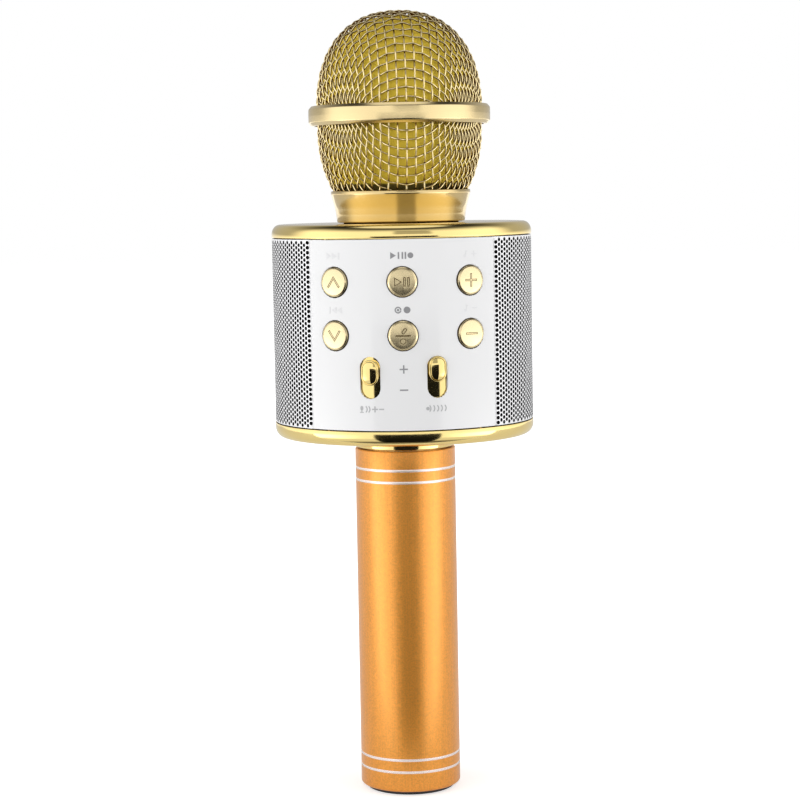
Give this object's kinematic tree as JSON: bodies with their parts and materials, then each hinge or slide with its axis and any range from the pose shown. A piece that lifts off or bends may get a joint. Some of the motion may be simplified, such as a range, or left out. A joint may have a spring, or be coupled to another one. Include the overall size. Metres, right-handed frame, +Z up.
{
  "type": "karaoke microphone",
  "caption": "Handheld microphone with a woven-wire head on a round speaker barrel, with sprung keys and two slides on a curved front panel, above a tubular handle.",
  "frame": {"origin": "centre of the foot that the microphone stands on, at its lowest face", "axes": "+Z runs up the microphone's axis to the head, -Y is the side with the key panel, and +X is to the right when facing the panel"},
  "size_m": [0.076, 0.0769, 0.2292],
  "materials": {
    "gold_metal": "mirror-bright pale gold plating",
    "gold_plated": "moulded plastic with a mirror-bright gold plating",
    "key_gold": "moulded plastic with a satin champagne-gold plating",
    "anodised_tube": "satin orange-gold anodising with bright-cut rings",
    "grille_wire": "woven crimped wire, plated pale gold",
    "foam": "open-cell foam, mustard yellow",
    "white_plastic": "glossy white with small grey printed marks",
    "perforated_metal": "silver perforated sheet, satin",
    "cloth": "fine black speaker cloth",
    "black_plastic": "moulded, fine texture",
    "rubber": "moulded, matte",
    "circuit_board": "green solder mask",
    "steel": "bright zinc or tin plate",
    "magnet": "dark ferrite with a zinc-plated cup",
    "cone_paper": "black pressed paper with a soft surround",
    "battery": "blue shrink sleeve over a steel can",
    "light_pipe": "frosted clear",
    "wire_insulation": "red and black insulated pair",
    "ribbon": "flexible flat cable"
  },
  "bodies": {
    "handset": {"handle_tube": "anodised_tube", "neck_ring": "gold_metal", "neck_nut": "steel", "battery_cradle": "black_plastic", "battery_cell": "battery", "end_plug": "black_plastic", "power_switch": "steel", "charging_socket": "steel", "audio_socket": "black_plastic", "card_socket": "steel", "charge_light": "light_pipe", "port_board": "circuit_board", "bottom_cap": "gold_plated", "cap_screw_1": "steel", "cap_screw_2": "steel", "cap_screw_3": "steel", "cap_screw_4": "steel", "chassis": "black_plastic", "grille_cloth": "cloth", "speaker_grille": "perforated_metal", "front_panel": "white_plastic", "top_cap": "gold_plated", "key_switch_up": "black_plastic", "key_switch_down": "black_plastic", "key_switch_play": "black_plastic", "key_switch_record": "black_plastic", "key_switch_plus": "black_plastic", "key_switch_minus": "black_plastic", "mic_volume_control": "steel", "echo_control": "steel", "control_board": "circuit_board", "speaker_frame_right": "steel", "speaker_frame_left": "steel", "speaker_magnet_right": "magnet", "speaker_magnet_left": "magnet", "main_board": "circuit_board", "bluetooth_module": "steel", "control_ribbon": "ribbon", "battery_lead": "wire_insulation", "capsule_lead": "rubber", "speaker_lead_right": "wire_insulation", "speaker_lead_left": "wire_insulation", "capsule_holder": "rubber", "mic_capsule": "steel"},
    "up_key": {"key_up": "key_gold"},
    "down_key": {"key_down": "key_gold"},
    "play_key": {"key_play": "key_gold"},
    "record_key": {"key_record": "key_gold"},
    "plus_key": {"key_plus": "key_gold"},
    "minus_key": {"key_minus": "key_gold"},
    "mic_volume_slide": {"mic_volume_knob": "gold_plated"},
    "echo_slide": {"echo_knob": "gold_plated"},
    "power_slide": {"power_slider": "gold_plated"},
    "right_cone": {"speaker_cone_right": "cone_paper"},
    "left_cone": {"speaker_cone_left": "cone_paper"},
    "foam": {"foam_liner": "foam"},
    "head": {"head_collar": "gold_metal", "grille_basket": "grille_wire", "band_ring": "gold_metal", "grille_dome": "grille_wire"}
  },
  "joints": [
    {"name": "up_press", "type": "slide", "parent": "handset", "child": "up_key", "axis": [0.5, 0.866, 0], "range_m": [0, 0.0005], "stiffness_N_per_m": 1200, "springref_m": -0.0004},
    {"name": "down_press", "type": "slide", "parent": "handset", "child": "down_key", "axis": [0.5, 0.866, 0], "range_m": [0, 0.0005], "stiffness_N_per_m": 1200, "springref_m": -0.0004},
    {"name": "play_press", "type": "slide", "parent": "handset", "child": "play_key", "axis": [0, 1, 0], "range_m": [0, 0.0005], "stiffness_N_per_m": 1200, "springref_m": -0.0004},
    {"name": "record_press", "type": "slide", "parent": "handset", "child": "record_key", "axis": [0, 1, 0], "range_m": [0, 0.0005], "stiffness_N_per_m": 1200, "springref_m": -0.0004},
    {"name": "plus_press", "type": "slide", "parent": "handset", "child": "plus_key", "axis": [-0.5, 0.866, 0], "range_m": [0, 0.0005], "stiffness_N_per_m": 1200, "springref_m": -0.0004},
    {"name": "minus_press", "type": "slide", "parent": "handset", "child": "minus_key", "axis": [-0.5, 0.866, 0], "range_m": [0, 0.0005], "stiffness_N_per_m": 1200, "springref_m": -0.0004},
    {"name": "mic_volume_move", "type": "slide", "parent": "handset", "child": "mic_volume_slide", "axis": [0, 0, 1], "range_m": [-0.0036, 0.0008]},
    {"name": "echo_move", "type": "slide", "parent": "handset", "child": "echo_slide", "axis": [0, 0, 1], "range_m": [-0.0044, 0]},
    {"name": "power_move", "type": "slide", "parent": "handset", "child": "power_slide", "axis": [1, 0, 0], "range_m": [0, 0.003]},
    {"name": "right_cone_throw", "type": "slide", "parent": "handset", "child": "right_cone", "axis": [1, 0, 0], "range_m": [-0.0008, 0.0008], "stiffness_N_per_m": 900},
    {"name": "left_cone_throw", "type": "slide", "parent": "handset", "child": "left_cone", "axis": [-1, 0, 0], "range_m": [-0.0008, 0.0008], "stiffness_N_per_m": 900},
    {"name": "head_lift", "type": "slide", "parent": "handset", "child": "foam", "axis": [0, 0, 1], "range_m": [0, 0.0045]},
    {"name": "head_turn", "type": "hinge", "parent": "foam", "child": "head", "pos_m": [0, 0, 0.1725], "axis": [0, 0, 1], "range_deg": [0, 1080]}
  ],
  "couplings": [
    {"joint": "head_lift", "follows": "head_turn", "m_per_rad": 0.00023873}
  ]
}
